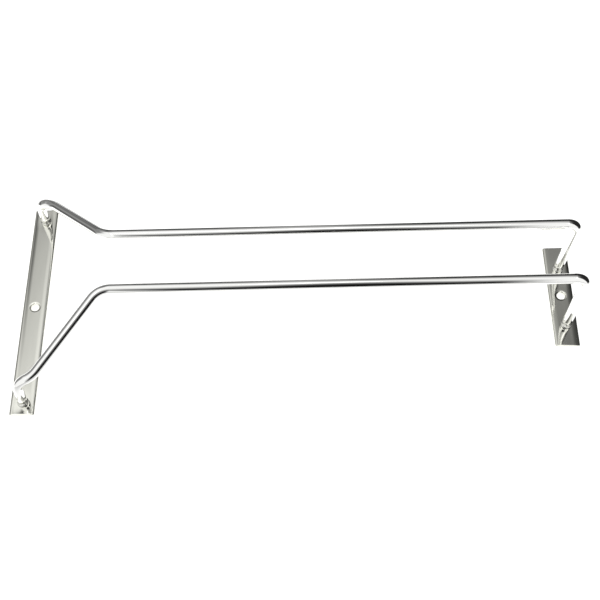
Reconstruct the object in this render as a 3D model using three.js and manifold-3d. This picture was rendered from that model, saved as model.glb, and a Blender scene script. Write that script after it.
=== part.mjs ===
// Hanging wine glass rack: two bent round wires welded to two flat strips.
//
// Millimetres, +Z up. The rack stands on the faces of its strips, which in use are screwed
// against the underside of a shelf or wall cabinet, so the rails that carry the glasses are
// at the top here and hang lowest in use. The open mouth faces -X and the closed end +X.
// Left and right are as seen from the mouth, looking towards +X. The origin lies on the
// mounting plane, in the middle between the strips.

import * as THREE from "three";
import Module from "manifold-3d";
import { mergeVertices } from "three/addons/utils/BufferGeometryUtils.js";

const wasm = await Module();
wasm.setup();

// Wire

const wire_diameter = 5;
const slot_width = 26.4; // clear gap between the rails, for the stem of the glass
const foot_clearance = 39.5; // clear height between strips and rails, for the foot of the glass

const wire_radius = wire_diameter / 2;
const rail_y = (slot_width + wire_diameter) / 2;

// Flat strips

const strip_width = 12.4;
const strip_thickness = 2;
const strip_edge_depth = 1.6; // how far in the rolled round of each long edge reaches
const strip_end_break = 0.3; // how much of the section is broken off round the cut ends
const strip_end_break_depth = 0.5; // and how far along the strip that reaches
const strip_spacing = 273; // between the centre lines of the two strips
const front_strip_length = 123;
const rear_foot_margin = 12.3; // from the middle of a rear foot to the near end of its strip
const front_foot_margin = 7.1; // the same at the front
const screw_hole_diameter = 4.4;
const screw_hole_edge_radius = 0.5; // rounded rim of the hole, on both faces

const front_x = -strip_spacing / 2;
const rear_x = strip_spacing / 2;

// Welds: the foot of each leg is upset into a low flared collar

const weld_height = 0.5;
const weld_flare = 0.35; // how far the collar spreads past the wire on the strip
const weld_shoulder = 0.12; // how far its top stands out round the wire

const foot_z = strip_thickness + weld_height;
const rail_z = strip_thickness + foot_clearance + wire_radius;

// Front of a wire: a short leg rises from the strip, and a shoulder turns it into the flare,
// which runs inwards and up to the throat, where the rail starts

const front_leg_height = 17.9; // strip to the corner of leg and shoulder
const front_leg_setback = 0.9; // that corner behind the foot
const front_leg_lean = 0.8; // and inwards of it
const shoulder_length = 8.1; // along X, from that corner to where the shoulder meets the flare
const shoulder_rise = 2.2;
const shoulder_inset = 3.1;
const throat_setback = 42.4; // corner of flare and rail behind the strip's centre line

const leg_bend_radius = 7;
const shoulder_bend_radius = 12;
const throat_bend_radius = 12;

// Rear of a wire: the rail bends down to a leg that leans a little forwards

const rear_corner_setback = 4; // corner of rail and rear leg behind the strip's centre line
const rear_foot_setback = 0.5;
const rear_leg_splay = 1.2; // foot outwards of the rail
const rear_bend_radius = 5;

const front_foot_y = front_strip_length / 2 - front_foot_margin;
const rear_foot_y = rail_y + rear_leg_splay;
const rear_strip_length = 2 * (rear_foot_y + rear_foot_margin);

// Fineness of the facets

const wire_sides = 24;
const weld_sides = 32;
const hole_sides = 32;
const bend_step = THREE.MathUtils.degToRad(6);
const arc_points = 4; // on each broken edge and weld flank
const edge_points = 12; // on each round edge of a strip

const cut_overrun = 4; // how far a cutting block reaches past what it cuts

const wire_material = new THREE.MeshStandardMaterial({ color: 0xe4e4e2, metalness: 1, roughness: 0.08 });
const strip_material = new THREE.MeshStandardMaterial({ color: 0xc9c9c4, metalness: 1, roughness: 0.22 });
const weld_material = new THREE.MeshStandardMaterial({ color: 0xb9b9b4, metalness: 1, roughness: 0.3 });

const group = new THREE.Group();

function addPiece(name, geometry, material, x = 0, y = 0, z = 0) {
  const mesh = new THREE.Mesh(geometry, material);
  mesh.name = name;
  mesh.position.set(x, y, z);
  group.add(mesh);
}

function solidFrom(geometry) {
  const shell = geometry.clone();
  shell.deleteAttribute("normal");
  shell.deleteAttribute("uv");
  const merged = mergeVertices(shell);
  return new wasm.Manifold(
    new wasm.Mesh({
      numProp: 3,
      vertProperties: new Float32Array(merged.attributes.position.array),
      triVerts: new Uint32Array(merged.index.array),
    }),
  );
}

function geometryFrom(solid) {
  const mesh = solid.getMesh();
  const geometry = new THREE.BufferGeometry();
  geometry.setAttribute("position", new THREE.BufferAttribute(mesh.vertProperties, 3));
  geometry.setIndex(new THREE.BufferAttribute(mesh.triVerts, 1));
  geometry.computeVertexNormals();
  return geometry;
}

// The axis of a bent wire: straight runs between corners, each corner rounded by an arc.
// A straight run needs no station between its ends, so the stations are not evenly spaced.

class BentAxis extends THREE.Curve {
  constructor(corners, radii) {
    super();
    this.stations = [];
    const first = corners[0];
    const last = corners[corners.length - 1];
    this.addStation(first, corners[1].clone().sub(first));
    radii.forEach((radius, i) => this.addBend(corners[i], corners[i + 1], corners[i + 2], radius));
    this.addStation(last, last.clone().sub(corners[corners.length - 2]));
  }

  addStation(point, direction) {
    this.stations.push({ point: point.clone(), tangent: direction.clone().normalize() });
  }

  addBend(before, corner, after, radius) {
    const along = corner.clone().sub(before).normalize();
    const away = after.clone().sub(corner).normalize();
    const turn = along.angleTo(away);
    const start = corner.clone().addScaledVector(along, -radius * Math.tan(turn / 2));
    const inwards = away.clone().addScaledVector(along, -Math.cos(turn)).normalize();
    const steps = Math.ceil(turn / bend_step);
    for (let i = 0; i <= steps; i += 1) {
      const angle = (turn * i) / steps;
      const point = start
        .clone()
        .addScaledVector(along, radius * Math.sin(angle))
        .addScaledVector(inwards, radius * (1 - Math.cos(angle)));
      const tangent = along
        .clone()
        .multiplyScalar(Math.cos(angle))
        .addScaledVector(inwards, Math.sin(angle));
      this.addStation(point, tangent);
    }
  }

  get steps() {
    return this.stations.length - 1;
  }

  getPointAt(u) {
    return this.stations[Math.round(u * this.steps)].point.clone();
  }

  getTangentAt(u) {
    return this.stations[Math.round(u * this.steps)].tangent.clone();
  }
}

// A wire's ends are cut level, so that they stand flat on the welds. The axis runs on past
// each foot, and a block under the feet takes the rest off.

function pastFoot(foot, above) {
  return foot.clone().addScaledVector(foot.clone().sub(above).normalize(), wire_diameter);
}

function bentWire(side) {
  const at = (x, y, z) => new THREE.Vector3(x, side * y, z);
  const frontFoot = at(front_x, front_foot_y, foot_z);
  const legCorner = at(
    front_x + front_leg_setback,
    front_foot_y - front_leg_lean,
    strip_thickness + front_leg_height,
  );
  const shoulderCorner = at(
    front_x + front_leg_setback + shoulder_length,
    front_foot_y - front_leg_lean - shoulder_inset,
    strip_thickness + front_leg_height + shoulder_rise,
  );
  const throat = at(front_x + throat_setback, rail_y, rail_z);
  const rearCorner = at(rear_x + rear_corner_setback, rail_y, rail_z);
  const rearFoot = at(rear_x + rear_foot_setback, rear_foot_y, foot_z);

  const axis = new BentAxis(
    [
      pastFoot(frontFoot, legCorner),
      legCorner,
      shoulderCorner,
      throat,
      rearCorner,
      pastFoot(rearFoot, rearCorner),
    ],
    [leg_bend_radius, shoulder_bend_radius, throat_bend_radius, rear_bend_radius],
  );
  const section = new THREE.Shape().absarc(0, 0, wire_radius, 0, 2 * Math.PI);
  const blank = new THREE.ExtrudeGeometry(section, {
    steps: axis.steps,
    curveSegments: wire_sides / 2,
    extrudePath: axis,
  });

  const block_height = wire_diameter + cut_overrun;
  const block = new THREE.BoxGeometry(
    strip_spacing + strip_width + 2 * cut_overrun,
    front_strip_length + 2 * cut_overrun,
    block_height,
  );
  block.translate(0, 0, foot_z - block_height / 2);
  return geometryFrom(solidFrom(blank).subtract(solidFrom(block)));
}

// A strip is a section with round edges, run along Y, and its lower face lies on the mounting
// plane. The bevel of the extrusion breaks its cut ends. The cutter for its screw hole flares
// at both faces.

function strip(length) {
  const flat = strip_width / 2 - strip_edge_depth;
  const half_thickness = strip_thickness / 2;
  const section = new THREE.Shape();
  section.moveTo(-flat, -half_thickness);
  section.absellipse(flat, 0, strip_edge_depth, half_thickness, -Math.PI / 2, Math.PI / 2);
  section.absellipse(-flat, 0, strip_edge_depth, half_thickness, Math.PI / 2, 1.5 * Math.PI);
  const blank = new THREE.ExtrudeGeometry(section, {
    depth: length - 2 * strip_end_break_depth,
    curveSegments: edge_points,
    bevelEnabled: true,
    bevelThickness: strip_end_break_depth,
    bevelSize: strip_end_break,
    bevelOffset: -strip_end_break,
    bevelSegments: arc_points,
  });
  blank.translate(0, 0, strip_end_break_depth - length / 2);
  blank.rotateX(Math.PI / 2);
  blank.translate(0, 0, half_thickness);
  return geometryFrom(solidFrom(blank).subtract(solidFrom(screwHoleCutter())));
}

function screwHoleCutter() {
  const wide = screw_hole_diameter / 2 + screw_hole_edge_radius;
  const profile = [new THREE.Vector2(0, -cut_overrun), new THREE.Vector2(wide, -cut_overrun)];
  for (let i = 0; i <= arc_points; i += 1) {
    const angle = (Math.PI / 2) * (i / arc_points);
    profile.push(
      new THREE.Vector2(
        wide - screw_hole_edge_radius * Math.sin(angle),
        screw_hole_edge_radius * (1 - Math.cos(angle)),
      ),
    );
  }
  const upper_half = profile.map((p) => new THREE.Vector2(p.x, strip_thickness - p.y)).reverse();
  return new THREE.LatheGeometry([...profile, ...upper_half], hole_sides).rotateX(Math.PI / 2);
}

// A weld is a low solid collar between the strip and the level end of a wire. Its flank is a
// hollow quarter ellipse, which runs out on the strip.

function weldCollar() {
  const top_radius = wire_radius + weld_shoulder;
  const profile = [new THREE.Vector2(0, 0)];
  for (let i = 0; i <= arc_points; i += 1) {
    const angle = (Math.PI / 2) * (i / arc_points);
    profile.push(
      new THREE.Vector2(
        top_radius + weld_flare * (1 - Math.sin(angle)),
        weld_height * (1 - Math.cos(angle)),
      ),
    );
  }
  profile.push(new THREE.Vector2(0, weld_height));
  return new THREE.LatheGeometry(profile, weld_sides).rotateX(Math.PI / 2);
}

addPiece("front_strip", strip(front_strip_length), strip_material, front_x);
addPiece("rear_strip", strip(rear_strip_length), strip_material, rear_x);

for (const [name, side] of [["left", 1], ["right", -1]]) {
  addPiece(`${name}_wire`, bentWire(side), wire_material);
  addPiece(
    `front_${name}_weld`, weldCollar(), weld_material, front_x, side * front_foot_y, strip_thickness,
  );
  addPiece(
    `rear_${name}_weld`,
    weldCollar(),
    weld_material,
    rear_x + rear_foot_setback,
    side * rear_foot_y,
    strip_thickness,
  );
}

export default group;
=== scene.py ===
# %% [markdown]
# # A hanging wine glass rack in chromed steel
#
# The rack is four cut and bent pieces of steel, two round wires and two flat strips, welded at
# four feet and chromed all over. It has no other colour and no texture that a hand could feel,
# so everything that the eye gets from it is mirrored: the table, the room and its own legs.
# The lesson therefore spends its care on three things: exact round and flat forms, a few small
# marks of making, and what stands around the rack to be mirrored.

# %% Frame
import math

import bpy
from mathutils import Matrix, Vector, noise


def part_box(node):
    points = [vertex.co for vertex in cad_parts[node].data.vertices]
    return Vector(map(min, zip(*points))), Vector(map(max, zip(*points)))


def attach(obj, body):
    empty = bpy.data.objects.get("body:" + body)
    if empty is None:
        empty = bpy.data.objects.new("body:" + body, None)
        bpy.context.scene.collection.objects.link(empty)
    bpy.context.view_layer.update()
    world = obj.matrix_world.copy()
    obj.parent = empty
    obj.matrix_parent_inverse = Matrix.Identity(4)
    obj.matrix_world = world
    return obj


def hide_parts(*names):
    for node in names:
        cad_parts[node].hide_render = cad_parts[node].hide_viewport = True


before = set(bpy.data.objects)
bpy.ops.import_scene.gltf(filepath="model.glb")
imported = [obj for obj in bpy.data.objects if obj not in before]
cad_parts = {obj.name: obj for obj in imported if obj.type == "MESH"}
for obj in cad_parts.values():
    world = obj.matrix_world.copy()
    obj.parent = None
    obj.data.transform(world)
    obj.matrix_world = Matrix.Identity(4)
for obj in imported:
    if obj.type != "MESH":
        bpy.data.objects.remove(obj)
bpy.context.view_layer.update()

MM = 0.001
print("nodes:", sorted(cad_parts))

# %% [markdown]
# ## Camera
#
# The photograph looks down on the rack from its right side, at 59 degrees. The place, the turn
# and the focal length were solved from straight edges whose real sizes are known: the strips,
# the rails and the mirrored legs. A new camera looks straight down. The small roll and pan are
# applied before the large tilt, so that the tilt alone says how far it looks up from there.

# %% Camera
CAMERA_PLACE_MM = (16.05, -301.63, 512.68)
CAMERA_TILT = 30.622
CAMERA_PAN = 1.373
CAMERA_ROLL = -1.288
CAMERA_NEAR_MM = 1
CAMERA_FAR = 50
FILM_WIDTH_MM = 36.0
FOCAL_SHARE = 1144 / 600


def make_camera():
    lens = bpy.data.cameras.new("camera")
    lens.sensor_fit = "HORIZONTAL"
    lens.sensor_width = FILM_WIDTH_MM
    lens.lens = FOCAL_SHARE * FILM_WIDTH_MM
    lens.clip_start = CAMERA_NEAR_MM * MM
    lens.clip_end = CAMERA_FAR
    camera = bpy.data.objects.new("camera", lens)
    camera.location = Vector(CAMERA_PLACE_MM) * MM
    camera.rotation_mode = "ZYX"
    camera.rotation_euler = [math.radians(a) for a in (CAMERA_TILT, CAMERA_PAN, CAMERA_ROLL)]
    bpy.context.scene.collection.objects.link(camera)
    bpy.context.scene.camera = camera
    return camera


camera = make_camera()
print("focal length in mm:", round(camera.data.lens, 2))

# %% [markdown]
# ## Colour and nodes
#
# Colours are written as the sRGB hex values that a painter would pick, and one function turns
# them to the linear numbers that a shader works in. One more function adds a node, fills in
# its settings and joins its inputs, so that each material reads as a short list.

# %% Colour and nodes


def linear(hex_colour):
    """The linear RGBA of an sRGB colour such as #c9c9c4."""
    values = [int(hex_colour[i : i + 2], 16) / 255 for i in (1, 3, 5)]
    return [v / 12.92 if v <= 0.04045 else ((v + 0.055) / 1.055) ** 2.4 for v in values] + [1.0]


def node(tree, kind, settings=None, **inputs):
    """Add a node. An input takes a plain value or another node's output; _0 is the first input."""
    made = tree.nodes.new(kind)
    for name, value in (settings or {}).items():
        setattr(made, name, value)
    for name, value in inputs.items():
        key = int(name[1:]) if name[1:].isdigit() else name.replace("_", " ")
        if isinstance(value, bpy.types.NodeSocket):
            tree.links.new(value, made.inputs[key])
        else:
            made.inputs[key].default_value = value
    return made


def new_material(name):
    material = bpy.data.materials.new(name)
    material.use_nodes = True
    material.node_tree.nodes.clear()
    return material, material.node_tree


print("the grey #808080 is", round(linear("#808080")[0], 3), "in linear numbers")

# %% [markdown]
# ## White table
#
# The background of the photograph is pure white, and what the chrome mirrors downwards is a
# white table top that ends not far outside the picture. It is matt laminate, lit like
# everything else, so the rack's faint contact shadow stays on it. To the camera and in mirrors
# it also glows a little, which lifts it to full white without any more light on the rack.

# %% White table
TABLE_X = (-0.21, 0.20)
TABLE_Y = (-0.23, 0.24)
TABLE_GLOW = 0.45


def seen_directly(tree):
    """1 for the camera, mirrors and glass, and 0 for the light that falls on matt things."""
    path = node(tree, "ShaderNodeLightPath").outputs
    mirrored = node(
        tree,
        "ShaderNodeMath",
        {"operation": "MAXIMUM"},
        _0=path["Is Glossy Ray"],
        _1=path["Is Transmission Ray"],
    )
    seen = node(
        tree,
        "ShaderNodeMath",
        {"operation": "MAXIMUM"},
        _0=path["Is Camera Ray"],
        _1=mirrored.outputs[0],
    )
    return seen.outputs[0]


def make_table():
    material, tree = new_material("white_laminate")
    paper = node(tree, "ShaderNodeBsdfDiffuse", Color=linear("#f2f2f2"))
    strength = node(
        tree, "ShaderNodeMath", {"operation": "MULTIPLY"}, _0=seen_directly(tree), _1=TABLE_GLOW
    )
    glow = node(
        tree, "ShaderNodeEmission", Color=linear("#ffffff"), Strength=strength.outputs[0]
    )
    both = node(tree, "ShaderNodeAddShader", _0=paper.outputs[0], _1=glow.outputs[0])
    node(tree, "ShaderNodeOutputMaterial", Surface=both.outputs[0])

    (x0, x1), (y0, y1) = TABLE_X, TABLE_Y
    mesh = bpy.data.meshes.new("table")
    mesh.from_pydata([(x0, y0, 0), (x1, y0, 0), (x1, y1, 0), (x0, y1, 0)], [], [(0, 1, 2, 3)])
    mesh.materials.append(material)
    table = bpy.data.objects.new("table", mesh)
    bpy.context.scene.collection.objects.link(table)
    return table


table = make_table()
print("table in m:", TABLE_X, "by", TABLE_Y)

# %% [markdown]
# ## Room and lamp
#
# The room is white, at a strength of 1 where it is seen or mirrored, and a little less as a
# light. One large soft lamp overhead gives the light a direction. It glows close to the room's
# white, so it leaves no shape of its own in the chrome, as several small bright lamps would.

# %% Room and lamp
ROOM_LIGHT = 0.75
SOFT_LAMP_SIDE = 1.6
SOFT_LAMP_PLACE = (-0.1, -0.25, 1.7)
SOFT_LAMP_GLOW = 1.1


def make_room():
    world = bpy.data.worlds.new("room")
    world.use_nodes = True
    tree = world.node_tree
    tree.nodes.clear()
    light = node(tree, "ShaderNodeBackground", Color=linear("#ffffff"), Strength=ROOM_LIGHT)
    white = node(tree, "ShaderNodeBackground", Color=linear("#ffffff"), Strength=1.0)
    mix = node(
        tree,
        "ShaderNodeMixShader",
        _0=seen_directly(tree),
        _1=light.outputs[0],
        _2=white.outputs[0],
    )
    node(tree, "ShaderNodeOutputWorld", Surface=mix.outputs[0])
    bpy.context.scene.world = world


def make_soft_lamp():
    light = bpy.data.lights.new("soft_lamp", "AREA")
    light.shape = "SQUARE"
    light.size = SOFT_LAMP_SIDE
    light.energy = SOFT_LAMP_GLOW * math.pi * SOFT_LAMP_SIDE**2
    lamp = bpy.data.objects.new("soft_lamp", light)
    lamp.location = SOFT_LAMP_PLACE
    bpy.context.scene.collection.objects.link(lamp)
    return lamp


make_room()
soft_lamp = make_soft_lamp()
print("lamp power in W:", round(soft_lamp.data.energy, 2))

# %% [markdown]
# ## Gradings
#
# White alone makes chrome vanish, because a mirror has no look of its own. So glowing sheets
# stand round the rack and lie beside it, graded in painted light and shade, and their mirror
# images draw its edges as a painted reflection of the room. They are seen in mirrors only.
#
# A grading could be painted or taken from a gradient texture. Here each is a few stops of
# height and shade, which can be read and moved one at a time, and three small curves: straight
# lines between stops, an even S for a fade, and a hump for what is highest in one place.

# %% Gradings


def eased(value, low, high):
    """0 up to low, 1 from high, and an even S between them."""
    share = min(max((value - low) / (high - low), 0), 1)
    return share * share * (3 - 2 * share)


def between(value, stops):
    """The level at a value, on straight lines between stops of value and level."""
    if value <= stops[0][0]:
        return stops[0][1]
    for (v0, level0), (v1, level1) in zip(stops, stops[1:]):
        if value <= v1:
            return level0 + (level1 - level0) * (value - v0) / (v1 - v0)
    return stops[-1][1]


def hump(place, middle, width):
    """1 at the middle, falling off to both sides like a bell."""
    return math.exp(-(((place - middle) / width) ** 2))


def stepped(span, step):
    """Even stations from one end of a span to the other."""
    count = round((span[1] - span[0]) / step)
    return [span[0] + step * i for i in range(count + 1)]


print("a quarter of the way into a fade:", eased(0.25, 0, 1))

# %% [markdown]
# ## Graded paper of painted shade
#
# The paper glows with painted light and shade of its own, so no lamp has to light it evenly.
# The shade is worked out for each point of the sheet and lies on the mesh as a colour attribute.
# A sheet throws no shadow and no light on matt things.

# %% Graded paper


def painted_reflection_paper():
    material, tree = new_material("painted_reflection_paper")
    shade = node(tree, "ShaderNodeAttribute", {"attribute_name": "shade"})
    # The glow is painted light: each point gives off its painted shade.
    paper = node(tree, "ShaderNodeEmission", Color=shade.outputs["Color"], Strength=1.0)
    node(tree, "ShaderNodeOutputMaterial", Surface=paper.outputs[0])
    return material


def stand_card(name, sides, rows, place_at, shade_at, material):
    """A sheet of quads. A row has one rise on a card, and one distance on a sheet that lies."""
    points = [place_at(side, row) for row in rows for side in sides]
    shades = [shade_at(side, row) for row in rows for side in sides]
    columns = len(sides)
    faces = [
        (r * columns + c, r * columns + c + 1, (r + 1) * columns + c + 1, (r + 1) * columns + c)
        for r in range(len(rows) - 1)
        for c in range(columns - 1)
    ]
    mesh = bpy.data.meshes.new(name)
    mesh.from_pydata(points, [], faces)
    mesh.materials.append(material)
    paint = mesh.color_attributes.new("shade", "FLOAT_COLOR", "POINT")
    for i, shade in enumerate(shades):
        paint.data[i].color = (shade, shade, shade, 1)
    card = bpy.data.objects.new(name, mesh)
    # Seen in mirrors only, so its painted shade shows as a painted reflection.
    card.visible_camera = False
    card.visible_diffuse = False
    card.visible_shadow = False
    card.visible_transmission = False
    bpy.context.scene.collection.objects.link(card)
    darkest, lightest = round(min(shades), 3), round(max(shades), 3)
    print(name, "has", len(points), "points, shades from", darkest, "to", lightest)


paper = painted_reflection_paper()
print("paper:", paper.name)

# %% [markdown]
# ## Front card
#
# This card stands on the camera's side, seen in mirrors only, and its painted shade draws the
# dark line along each rail and down the near flare, a painted reflection of the room's shade.
# It is bent round a lying cylinder, so it has a left and a right end in the rails. Its painted
# shade is dark near the table and graded to white overhead, highest a little right of the
# middle, and its left end leans outwards as it rises. It reaches lower than the table's edge,
# so the mirrors show a dark rim where the white table top ends. Rises are in degrees above level.

# %% Front card
CARD_RISES = (-20, 85)
CARD_RISE_STEP = 2.5

FRONT_CARD_RADIUS = 0.3
FRONT_CARD_X = (-0.18, 0.20)
FRONT_CARD_X_STEP = 0.005
# Stops of rise in degrees, and shade. The far card's are written the same way.
FRONT_CARD_LEVELS = (
    (10, 0.008),
    (22, 0.03),
    (32, 0.10),
    (45, 0.33),
    (56, 0.66),
    (66, 0.90),
    (74, 1),
)
FRONT_CARD_PEAK = 24
FRONT_CARD_PEAK_PLACE = 0.03
FRONT_CARD_PEAK_WIDTH = 0.07
FRONT_CARD_LOW_LEFT_FADE = (-0.145, -0.085)
FRONT_CARD_HIGH_LEFT_FADE = (-0.170, -0.125)
FRONT_CARD_LEFT_LEAN = (8, 34)
FRONT_CARD_RIGHT_FADE = (0.135, 0.190)


def front_card_place(x, rise):
    y = -FRONT_CARD_RADIUS * math.cos(math.radians(rise))
    return Vector((x, y, FRONT_CARD_RADIUS * math.sin(math.radians(rise))))


# Painted shade for the mirrors: dark low down and graded to white overhead.
def front_card_shade(x, rise):
    lift = FRONT_CARD_PEAK * hump(x, FRONT_CARD_PEAK_PLACE, FRONT_CARD_PEAK_WIDTH)
    lean = eased(rise, *FRONT_CARD_LEFT_LEAN)
    ends = zip(FRONT_CARD_LOW_LEFT_FADE, FRONT_CARD_HIGH_LEFT_FADE)
    left_fade = [low + lean * (high - low) for low, high in ends]
    cover = eased(x, *left_fade) * (1 - eased(x, *FRONT_CARD_RIGHT_FADE))
    return 1 - cover * (1 - between(rise - lift, FRONT_CARD_LEVELS))


front_sides = stepped(FRONT_CARD_X, FRONT_CARD_X_STEP)
card_rises = stepped(CARD_RISES, CARD_RISE_STEP)
stand_card("front_card", front_sides, card_rises, front_card_place, front_card_shade, paper)

# %% [markdown]
# ## Far card
#
# This card stands behind the rack and round its mouth, seen in mirrors only. Its painted shade
# draws the thin upper line of the rails and greys the two strips, a painted reflection of the
# room's shade. How far the grey climbs differs from left to right, and a paler band of painted
# light lies low in the middle. The left part, and the side by the mouth, have stops of their
# own, which draw the lines of the flares and of the bends over the front legs. Several flat
# cards could do this, but the gaps between them would show as lines, so it is one patch of a
# large sphere. An x here is a share of the sphere's radius.

# %% Far card
FAR_CARD_RADIUS = 1.0
FAR_CARD_TURNS = (-110, 115)
FAR_CARD_TURN_STEP = 2.5
FAR_CARD_LEVELS = (
    (20, 0.02),
    (35, 0.07),
    (45, 0.22),
    (50, 0.33),
    (57, 0.48),
    (61, 0.62),
    (66, 0.80),
    (72, 0.95),
    (78, 1),
)
FAR_CARD_LIFTS = (
    (-0.4, -12),
    (-0.25, -9.5),
    (-0.1, -0.5),
    (0.0, 2),
    (0.15, 8),
    (0.33, 6),
    (0.4, 7),
    (0.44, 12),
    (0.5, 14),
    (0.6, 12),
)
FAR_PAINTED_LIGHT_PLACE = -0.01
FAR_PAINTED_LIGHT_WIDTH = 0.09
FAR_PAINTED_LIGHT_LEVEL = 0.25
FAR_PAINTED_LIGHT_FADE = (45, 65)
FAR_LEFT_X = (-0.48, -0.3)
FAR_LEFT_LEVELS = (
    (0, 0.22),
    (8, 0.18),
    (12, 0.12),
    (17, 0.22),
    (24, 0.32),
    (34, 0.17),
    (40, 0.10),
    (46, 0.13),
    (51, 0.32),
    (57, 0.55),
    (62, 0.76),
    (68, 0.92),
    (74, 1),
)
FAR_SIDE_TURNS = (-58, -42)
FAR_SIDE_LEVELS = (
    (0, 0.11),
    (7, 0.31),
    (12, 0.26),
    (28, 0.24),
    (36, 0.45),
    (44, 0.82),
    (52, 1),
)
FAR_SIDE_END = (-104, -84)


def far_card_place(turn, rise):
    """Turn is counted from straight behind the rack (+Y) towards +X."""
    level = FAR_CARD_RADIUS * math.cos(math.radians(rise))
    x = level * math.sin(math.radians(turn))
    y = level * math.cos(math.radians(turn))
    return Vector((x, y, FAR_CARD_RADIUS * math.sin(math.radians(rise))))


# Painted shade for the mirrors, with a paler band of painted light low in the middle.
def far_card_shade(turn, rise):
    x = far_card_place(turn, rise).x / FAR_CARD_RADIUS
    main = between(rise - between(x, FAR_CARD_LIFTS), FAR_CARD_LEVELS)
    painted_light = FAR_PAINTED_LIGHT_LEVEL * hump(x, FAR_PAINTED_LIGHT_PLACE, FAR_PAINTED_LIGHT_WIDTH) * (1 - eased(rise, *FAR_PAINTED_LIGHT_FADE))
    left = 1 - eased(x, *FAR_LEFT_X)
    behind = (1 - left) * min(main + painted_light, 1) + left * between(rise, FAR_LEFT_LEVELS)
    side = 1 - eased(turn, *FAR_SIDE_TURNS)
    beside = 1 - (1 - between(rise, FAR_SIDE_LEVELS)) * eased(turn, *FAR_SIDE_END)
    return (1 - side) * behind + side * beside


far_sides = stepped(FAR_CARD_TURNS, FAR_CARD_TURN_STEP)
stand_card("far_card", far_sides, card_rises, far_card_place, far_card_shade, paper)

# %% [markdown]
# ## Side sheets
#
# Two sheets lie on the table at the rack's right and left, seen in mirrors only. Their painted
# shade is white near the rack and a pale grey further out, a painted reflection of the table.
# Without them the short legs would mirror nothing but white, and vanish in any view from low down.

# %% Side sheets
SIDE_SHEET_Y = (0.062, 0.222)
SIDE_SHEET_STEP = 0.01
SIDE_SHEET_RAISE = 0.0003
# Stops of distance from the rack's middle line, and shade.
SIDE_SHEET_LEVELS = ((0.062, 1.1), (0.082, 0.8), (0.13, 0.64), (0.2, 0.62))


def right_sheet_place(x, y):
    return Vector((x, -y, SIDE_SHEET_RAISE))


def left_sheet_place(x, y):
    return Vector((x, y, SIDE_SHEET_RAISE))


# Painted shade of the table's mirror image: white near the rack, grey further out.
def side_sheet_shade(x, y):
    return between(y, SIDE_SHEET_LEVELS)


sheet_rows = stepped(SIDE_SHEET_Y, SIDE_SHEET_STEP)
stand_card("right_sheet", TABLE_X, sheet_rows, right_sheet_place, side_sheet_shade, paper)
stand_card("left_sheet", TABLE_X, sheet_rows, left_sheet_place, side_sheet_shade, paper)

# %% [markdown]
# ## Chrome on polished wire
#
# The wires are drawn steel, polished, and plated with nickel and then chromium. Chromium is a
# metal, so it mirrors with its own pale colour and has no other, and on polished wire the
# mirror is nearly perfect. Two faint unevennesses break its lines as they do on real wire: a
# slow waviness left by the drawing, and a fine orange peel in the plating. Both are too
# shallow to show in the outline, so they are bumps in the material and not in the mesh.

# %% Chrome on polished wire
WIRE_WAVE_MM = (16.0, 9.0, 16.0)
WIRE_WAVE_DEPTH_MM = 0.02
WIRE_PEEL_MM = 0.9
WIRE_PEEL_DEPTH_MM = 0.0003


def polished_wire_chrome():
    material, tree = new_material("chrome_on_polished_wire")
    place = node(tree, "ShaderNodeTexCoord").outputs["Object"]
    wave_place = node(
        tree, "ShaderNodeMapping", Vector=place, Scale=[1 / (MM * step) for step in WIRE_WAVE_MM]
    )
    wave = node(tree, "ShaderNodeTexNoise", Vector=wave_place.outputs[0], Scale=1.0, Detail=2.0)
    peel = node(tree, "ShaderNodeTexNoise", Vector=place, Scale=1 / (MM * WIRE_PEEL_MM), Detail=2.0)
    waved = node(tree, "ShaderNodeBump", Height=wave.outputs[0], Distance=WIRE_WAVE_DEPTH_MM * MM)
    peeled = node(
        tree,
        "ShaderNodeBump",
        Height=peel.outputs[0],
        Distance=WIRE_PEEL_DEPTH_MM * MM,
        Normal=waved.outputs[0],
    )
    shader = node(
        tree,
        "ShaderNodeBsdfPrincipled",
        Base_Color=linear("#f7f7f5"),
        Metallic=1.0,
        Roughness=0.05,
        Normal=peeled.outputs[0],
    )
    node(tree, "ShaderNodeOutputMaterial", Surface=shader.outputs[0])
    return material


wire_finish = polished_wire_chrome()
print("finish:", wire_finish.name)

# %% [markdown]
# ## Chrome on rolled strip
#
# The strips were rolled flat and not polished before the same plating. The rolls leave fine
# lines along the bar, which smear the mirror sideways, and broad slow waves, which show as
# lighter and darker streaks. The colour is a little warmer than on the wire. The lines could
# come from an anisotropic shader, but stretched noise makes each of them differ. Real ones are
# finer than a pixel of this picture, so they are drawn as coarse as they need to show.

# %% Chrome on rolled strip
STRIP_LINE_MM = (0.8, 30.0, 4.0)
STRIP_LINE_DEPTH_MM = 0.001
STRIP_WAVE_MM = (5.0, 22.0, 6.0)
STRIP_WAVE_DEPTH_MM = 0.02


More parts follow.
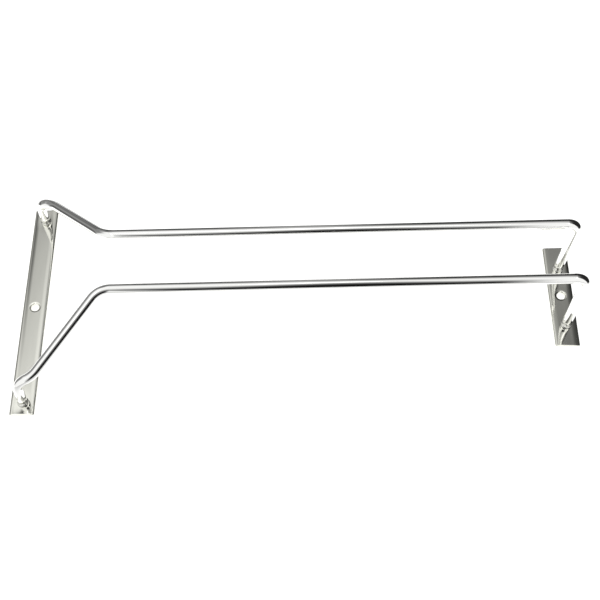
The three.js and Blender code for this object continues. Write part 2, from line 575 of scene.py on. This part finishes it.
def rolled_strip_chrome():
    material, tree = new_material("chrome_on_rolled_strip")
    place = node(tree, "ShaderNodeTexCoord").outputs["Object"]
    line_place = node(
        tree, "ShaderNodeMapping", Vector=place, Scale=[1 / (MM * step) for step in STRIP_LINE_MM]
    )
    wave_place = node(
        tree, "ShaderNodeMapping", Vector=place, Scale=[1 / (MM * step) for step in STRIP_WAVE_MM]
    )
    lines = node(tree, "ShaderNodeTexNoise", Vector=line_place.outputs[0], Scale=1.0, Detail=3.0)
    waves = node(tree, "ShaderNodeTexNoise", Vector=wave_place.outputs[0], Scale=1.0, Detail=1.0)
    lined = node(tree, "ShaderNodeBump", Height=lines.outputs[0], Distance=STRIP_LINE_DEPTH_MM * MM)
    waved = node(
        tree,
        "ShaderNodeBump",
        Height=waves.outputs[0],
        Distance=STRIP_WAVE_DEPTH_MM * MM,
        Normal=lined.outputs[0],
    )
    shader = node(
        tree,
        "ShaderNodeBsdfPrincipled",
        Base_Color=linear("#efefe6"),
        Metallic=1.0,
        Roughness=0.07,
        Normal=waved.outputs[0],
    )
    node(tree, "ShaderNodeOutputMaterial", Surface=shader.outputs[0])
    return material


strip_finish = rolled_strip_chrome()
print("finish:", strip_finish.name)

# %% [markdown]
# ## Chrome over the welds
#
# The weld metal was squeezed out and froze as it was, and only the plating covers it, so its
# skin is a little grainy and its mirror duller than the wire's. The grain is too shallow to
# show in the outline, so it is a bump, and the mesh keeps to the form of the collar.

# %% Chrome over the welds
WELD_GRAIN_MM = 0.5
WELD_GRAIN_DEPTH_MM = 0.001


def weld_chrome():
    material, tree = new_material("chrome_over_weld")
    place = node(tree, "ShaderNodeTexCoord").outputs["Object"]
    grain = node(
        tree, "ShaderNodeTexNoise", Vector=place, Scale=1 / (MM * WELD_GRAIN_MM), Detail=3.0
    )
    grained = node(
        tree, "ShaderNodeBump", Height=grain.outputs[0], Distance=WELD_GRAIN_DEPTH_MM * MM
    )
    shader = node(
        tree,
        "ShaderNodeBsdfPrincipled",
        Base_Color=linear("#e9e9e4"),
        Metallic=1.0,
        Roughness=0.3,
        Normal=grained.outputs[0],
    )
    node(tree, "ShaderNodeOutputMaterial", Surface=shader.outputs[0])
    return material


weld_finish = weld_chrome()
print("finish:", weld_finish.name)

# %% [markdown]
# ## Loops of points
#
# Every piece of the rack is a row of closed loops: rings along a wire, rings up a weld, and on
# a strip the loops that run round its edge and round its hole. One helper joins such a row
# into a mesh of quads, so that each curved face has even rows for the mirror to glide over.
# The other puts the piece in the place of its solid and prints how well the two boxes agree,
# and the piece's volume, which would be negative if its faces looked inwards.

# %% Loops of points


def mesh_from_loops(name, loops, close_ring=False, cap_ends=False):
    """Quads between each loop and the next. close_ring joins the last to the first."""
    count = len(loops[0])
    points = [p for loop in loops for p in loop]
    faces = []
    pairs = len(loops) if close_ring else len(loops) - 1
    for i in range(pairs):
        low = i * count
        high = ((i + 1) % len(loops)) * count
        for j in range(count):
            k = (j + 1) % count
            faces.append((low + j, low + k, high + k, high + j))
    if cap_ends:
        faces.append(tuple(reversed(range(count))))
        faces.append(tuple(range((len(loops) - 1) * count, len(loops) * count)))
    mesh = bpy.data.meshes.new(name)
    mesh.from_pydata([tuple(c * MM for c in p) for p in points], [], faces)
    mesh.validate()
    mesh.update()
    for polygon in mesh.polygons:
        polygon.use_smooth = len(polygon.vertices) == 4
    return mesh


def place_piece(name, mesh, finish, cad_node):
    mesh.materials.append(finish)
    piece = bpy.data.objects.new(name, mesh)
    bpy.context.scene.collection.objects.link(piece)
    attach(piece, "root")
    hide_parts(cad_node)
    low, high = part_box(cad_node)
    mine = [[f([v.co[i] for v in mesh.vertices]) for i in range(3)] for f in (min, max)]
    apart = max(abs(mine[k][i] - (low, high)[k][i]) for k in range(2) for i in range(3)) / MM
    volume = sum(p.center.dot(p.normal) * p.area / 3 for p in mesh.polygons) / MM**3
    print(name, "has", len(mesh.polygons), "faces and", round(volume), "mm3")
    print("  its box is within", round(apart, 3), "mm of the solid's")
    return piece


# %% [markdown]
# ## Path of a wire
#
# Each wire is a length of 5 mm round stock, bent over pins four times: at the top of the
# short front leg, at the shoulder, at the throat where the rail starts, and at the rear. A
# free curve would only come near that, so the path is straight runs joined by exact arcs.

# %% Path of a wire
WIRE_RADIUS = 2.5
RAIL_Y = 15.7
RAIL_Z = 44.0
STRIP_TOP = 2.0
WELD_HEIGHT = 0.5
FRONT_X = -136.5
REAR_X = 136.5
BEND_STEP = 2.0
STRAIGHT_STEP = 4.0

WIRE_CORNERS = (
    (FRONT_X, 54.4, STRIP_TOP),
    (FRONT_X + 0.9, 53.6, STRIP_TOP + 17.9),
    (FRONT_X + 9.0, 50.5, STRIP_TOP + 20.1),
    (FRONT_X + 42.4, RAIL_Y, RAIL_Z),
    (REAR_X + 4.0, RAIL_Y, RAIL_Z),
    (REAR_X + 0.5, 16.9, STRIP_TOP),
)
WIRE_BEND_RADII = (7, 16, 12, 5)


def wire_corners(side):
    """The corners of the left (1) or right (-1) wire. Its feet end on top of the welds."""
    corners = [Vector((x, side * y, z)) for x, y, z in WIRE_CORNERS]
    for end, inner in ((0, 1), (-1, -2)):
        leg = corners[inner] - corners[end]
        corners[end] += leg * (WELD_HEIGHT / leg.z)
    return corners


def wire_stations(corners, radii):
    """Points along the path with their direction, and for a bend its inward side and radius."""
    stations = []

    def run(start, end):
        count = max(1, round((end - start).length / STRAIGHT_STEP))
        for i in range(count + 1):
            stations.append((start.lerp(end, i / count), (end - start).normalized(), None, None))

    here = corners[0]
    for before, corner, after, radius in zip(corners, corners[1:], corners[2:], radii):
        along = (corner - before).normalized()
        away = (after - corner).normalized()
        turn = along.angle(away)
        start = corner - along * radius * math.tan(turn / 2)
        inward = (away - along * math.cos(turn)).normalized()
        run(here, start)
        steps = math.ceil(math.degrees(turn) / BEND_STEP)
        for i in range(1, steps):
            angle = turn * i / steps
            across = inward * radius * (1 - math.cos(angle))
            middle = start + along * radius * math.sin(angle) + across
            direction = along * math.cos(angle) + inward * math.sin(angle)
            centre_side = inward * math.cos(angle) - along * math.sin(angle)
            stations.append((middle, direction, centre_side, (radius, i / steps)))
        here = corner + away * radius * math.tan(turn / 2)
    run(here, corners[-1])
    return stations


left_path = wire_stations(wire_corners(1), WIRE_BEND_RADII)
wire_length = sum((q[0] - p[0]).length for p, q in zip(left_path, left_path[1:]))
print("each wire is about", round(wire_length), "mm long along its middle")

# %% [markdown]
# ## Bent wires
#
# A bend made over a pin squeezes the wire a little out of round, more so the tighter it is. A
# curve with a round bevel would do for a plain rod, but it can be neither squeezed in its bends
# nor cut level on the welds. So a ring of points is carried along the path without twisting,
# and the squeeze is worked into the rings.

# %% Bent wires
WIRE_SIDES = 72
SQUEEZE_SHARE = 0.05


def wire_rings(stations, foot_z):
    """Rings of points round the path. The two end rings lie level, on the welds."""
    rings = []
    side = None
    for place, direction, centre_side, bend in stations:
        if side is None:
            side = direction.cross(Vector((1, 0, 0))).normalized()
        side = (side - direction * side.dot(direction)).normalized()
        other = direction.cross(side)
        ring = []
        for j in range(WIRE_SIDES):
            angle = 2 * math.pi * j / WIRE_SIDES
            out = side * math.cos(angle) + other * math.sin(angle)
            reach = WIRE_RADIUS
            if bend:
                radius, share = bend
                squeeze = SQUEEZE_SHARE * (2 * WIRE_RADIUS / radius) * math.sin(math.pi * share)
                reach *= 1 - squeeze * out.dot(centre_side) ** 2
            ring.append(place + out * reach)
        rings.append(ring)
    for ring, (place, direction, _, _) in ((rings[0], stations[0]), (rings[-1], stations[-1])):
        for j, point in enumerate(ring):
            ring[j] = point + direction * ((foot_z - point.z) / direction.z)
    return rings


def make_wire(name, side):
    stations = wire_stations(wire_corners(side), WIRE_BEND_RADII)
    rings = wire_rings(stations, STRIP_TOP + WELD_HEIGHT)
    mesh = mesh_from_loops(name, rings, cap_ends=True)
    return place_piece("polished_" + name, mesh, wire_finish, name)


for wire_name, wire_side in (("left_wire", 1), ("right_wire", -1)):
    make_wire(wire_name, wire_side)

# %% [markdown]
# ## Outline of a strip
#
# The strips are cut from bar that was rolled flat from round wire, so the long edges are round
# and run out softly on the faces. The ends were sheared square and only broken. A bevelled box
# would have the same round on every edge, so the loops of the strip are worked out instead.
# Each is a rectangle with rounded corners and has the same count of points, whatever its size,
# so any two can be joined.

# %% Outline of a strip
STRIP_WIDTH = 12.4
STRIP_THICKNESS = 2.0
EDGE_DEPTH = 1.5
EDGE_HEIGHT = 0.6
END_BREAK = 0.3
END_BREAK_DEPTH = 0.5
CORNER_RADIUS = 0.5
LEAST_CORNER_RADIUS = CORNER_RADIUS / 3
EDGE_STEPS = 14
CORNER_STEPS = 8
SIDE_STEPS = 60
END_STEPS = 24


def strip_outline(half_width, half_length, corner):
    """Points round a rectangle with rounded corners, the same count on any size."""
    points = []
    corners = (
        (half_width - corner, -half_length + corner, -90),
        (half_width - corner, half_length - corner, 0),
        (-half_width + corner, half_length - corner, 90),
        (-half_width + corner, -half_length + corner, 180),
    )
    sides = (SIDE_STEPS, END_STEPS, SIDE_STEPS, END_STEPS)
    for k, (x, y, first) in enumerate(corners):
        arc = [
            (
                x + corner * math.cos(math.radians(first + 90 * i / CORNER_STEPS)),
                y + corner * math.sin(math.radians(first + 90 * i / CORNER_STEPS)),
            )
            for i in range(CORNER_STEPS + 1)
        ]
        next_x, next_y, next_first = corners[(k + 1) % 4]
        onward = (
            next_x + corner * math.cos(math.radians(next_first)),
            next_y + corner * math.sin(math.radians(next_first)),
        )
        points += arc
        for i in range(1, sides[k]):
            share = i / sides[k]
            points.append(tuple(a * (1 - share) + b * share for a, b in zip(arc[-1], onward)))
    return points


def quarter(depth, height):
    """Inset and drop of a quarter ellipse, from the flat face to the side."""
    for i in range(EDGE_STEPS + 1):
        angle = math.pi / 2 * i / EDGE_STEPS
        yield depth * (1 - math.sin(angle)), height * (1 - math.cos(angle))


def end_inset(drop):
    """How far a cut end is broken back, that far under the face."""
    share = max(0, 1 - drop / END_BREAK)
    return END_BREAK_DEPTH * (1 - math.sqrt(1 - share * share))


OUTLINE_COUNT = len(strip_outline(STRIP_WIDTH / 2, STRIP_WIDTH / 2, CORNER_RADIUS))
print("a loop of a strip has", OUTLINE_COUNT, "points")

# %% [markdown]
# ## Faults of the bar
#
# Flat chrome shows every fault in what it mirrors. The middle of the upper face is flat and
# stands a fifth of a millimetre proud of its flanks. The rear strip is thinner along its outer
# edge, most at the near end, and the front strip has a shallow dent round each foot, where the
# leg was pressed on, and one by its near end, left by the shears. A bump in the material could
# not bend the outline, so each fault lowers the mesh itself.

# %% Faults of the bar
STRIP_CROWN = 0.2
CROWN_FLAT = 3.0
REAR_THINNING = ((-29, 0.06), (-14, 0.05), (5, 0.03), (20, 0.0))
# Each dent has its middle, its reach both ways and its depth.
FRONT_DENTS = (
    (0, 54.4, 4.0, 4.0, 0.2),
    (0, -54.4, 4.0, 4.0, 0.2),
    (-0.6, -58.4, 3.2, 2.6, 0.42),
)


def crown(x, y):
    return STRIP_CROWN * (max(0, abs(x) - CROWN_FLAT) / (STRIP_WIDTH / 2 - CROWN_FLAT)) ** 2


def thinning(x, y):
    return between(y, REAR_THINNING) * (x + STRIP_WIDTH / 2)


def dents(x, y):
    return sum(d * hump(x, px, rx) * hump(y, py, ry) for px, py, rx, ry, d in FRONT_DENTS)


def lowered(x, y, z, faults):
    """The height of a point of the flat blank: the upper face and its edges take the faults."""
    share = max(0, 2 * z / STRIP_THICKNESS - 1)
    return z - share * sum(fault(x, y) for fault in faults)


most_thinned = thinning(STRIP_WIDTH / 2, REAR_THINNING[0][0])
print("the rear strip is thinned by up to", round(most_thinned, 2), "mm")

# %% [markdown]
# ## Flat strips
#
# A screw hole is punched in the middle of each strip, which drew its rim down softly. Cutting
# it with a boolean would leave ragged faces that the mirror shows. So the strip is one ring of
# loops instead: round the edge, in over the lower face, up through the hole and out over the
# upper face, where the round loops pass evenly into the straight ones.

# %% Flat strips
HOLE_RADIUS = 2.1
HOLE_EDGE_DEPTH = 1.2
HOLE_EDGE_HEIGHT = 0.65
EDGE_SUPPORT = 0.12
RIM_STEP = 0.3
RIM_WIDTH = 2.6
FACE_STEPS = 28


def edge_loop(half_length, inset, drop, upper):
    """A straight loop, that far in from the sides and that far down from its face."""
    end = end_inset(drop) + max(0, inset - EDGE_DEPTH)
    corner = max(CORNER_RADIUS - min(inset, end), LEAST_CORNER_RADIUS)
    outline = strip_outline(STRIP_WIDTH / 2 - inset, half_length - end, corner)
    z = STRIP_THICKNESS - drop if upper else drop
    return [(x, y, z) for x, y in outline]


def hole_loop(reach, z):
    """A round loop whose points face those of a straight one."""
    first = CORNER_STEPS + SIDE_STEPS / 2
    turns = [2 * math.pi * (j - first) / OUTLINE_COUNT for j in range(OUTLINE_COUNT)]
    return [(reach * math.cos(turn), reach * math.sin(turn), z) for turn in turns]


def blended(loop, other, share):
    pairs = zip(loop, other)
    return [tuple(a * (1 - share) + b * share for a, b in zip(p, q)) for p, q in pairs]


def strip_loops(half_length):
    top = STRIP_THICKNESS
    border = EDGE_DEPTH + EDGE_SUPPORT
    hole_border = HOLE_RADIUS + HOLE_EDGE_DEPTH + EDGE_SUPPORT
    rim = RIM_WIDTH - EDGE_DEPTH
    rim_count = round(rim / RIM_STEP)
    insets = [EDGE_DEPTH + rim * i / rim_count for i in range(rim_count, 0, -1)]
    edge = list(quarter(EDGE_DEPTH, EDGE_HEIGHT))
    hole_edge = list(quarter(HOLE_EDGE_DEPTH, HOLE_EDGE_HEIGHT))

    loops = [edge_loop(half_length, inset, 0, True) for inset in insets + [border]]
    loops += [edge_loop(half_length, inset, drop, True) for inset, drop in edge]
    loops += [edge_loop(half_length, inset, drop, False) for inset, drop in reversed(edge)]
    loops += [edge_loop(half_length, border, 0, False), hole_loop(hole_border, 0)]
    loops += [hole_loop(HOLE_RADIUS + inset, drop) for inset, drop in hole_edge]
    loops += [hole_loop(HOLE_RADIUS + inset, top - drop) for inset, drop in reversed(hole_edge)]
    around_hole = hole_loop(hole_border, top)
    loops += [blended(around_hole, loops[0], i / FACE_STEPS) for i in range(FACE_STEPS)]
    return loops[::-1]  # in this order the faces look outwards


def make_strip(name, x_middle, faults):
    low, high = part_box(name)
    shaped = [
        [(x_middle + x, y, lowered(x, y, z, faults)) for x, y, z in loop]
        for loop in strip_loops((high.y - low.y) / 2 / MM)
    ]
    mesh = mesh_from_loops(name, shaped, close_ring=True)
    return place_piece("rolled_" + name, mesh, strip_finish, name)


make_strip("front_strip", FRONT_X, (crown, dents))
make_strip("rear_strip", REAR_X, (crown, thinning))

# %% [markdown]
# ## Welds
#
# The end of each leg was pressed on the strip while a current melted it, and a low collar of
# metal was squeezed out round the foot. The collar is a lathe form whose flank runs out hollow
# on the strip, and its rim wanders a little, as the squeezed metal did. A turned ring with a
# bump would keep an even outline, so the wander is in the mesh.

# %% Welds
WELD_FLARE = 0.35
WELD_SIDES = 96
WELD_STEPS = 14
WELD_WANDER_MM = 0.12
WELD_WANDER_SPREAD = 2.2
WELD_SEED_STEP = 3.7


def make_weld(name, seed):
    low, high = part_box(name)
    middle = (low + high) / 2 / MM
    base = low.z / MM
    rings = []
    for i in range(WELD_STEPS + 1):
        angle = math.pi / 2 * i / WELD_STEPS
        spread = WELD_FLARE * (1 - math.sin(angle))
        rise = WELD_HEIGHT * (1 - math.cos(angle))
        ring = []
        for j in range(WELD_SIDES):
            turn = 2 * math.pi * j / WELD_SIDES
            round_x, round_y = math.cos(turn), math.sin(turn)
            drift = noise.noise(
                Vector((WELD_WANDER_SPREAD * round_x, WELD_WANDER_SPREAD * round_y, seed))
            )
            wander = (0.5 + 0.5 * drift) * WELD_WANDER_MM / WELD_FLARE
            reach = WIRE_RADIUS + spread * (1 - wander)
            ring.append((middle.x + reach * round_x, middle.y + reach * round_y, base + rise))
        rings.append(ring)
    mesh = mesh_from_loops(name, rings, cap_ends=True)
    return place_piece("plated_" + name, mesh, weld_finish, name)


for weld_number, weld_name in enumerate(
    f"{end}_{hand}_weld" for end in ("front", "rear") for hand in ("left", "right")
):
    make_weld(weld_name, WELD_SEED_STEP * weld_number)

# %% [markdown]
# ## Last settings
#
# The picture uses the plain Standard view.

# %% Last settings
bpy.context.scene.view_settings.view_transform = "Standard"
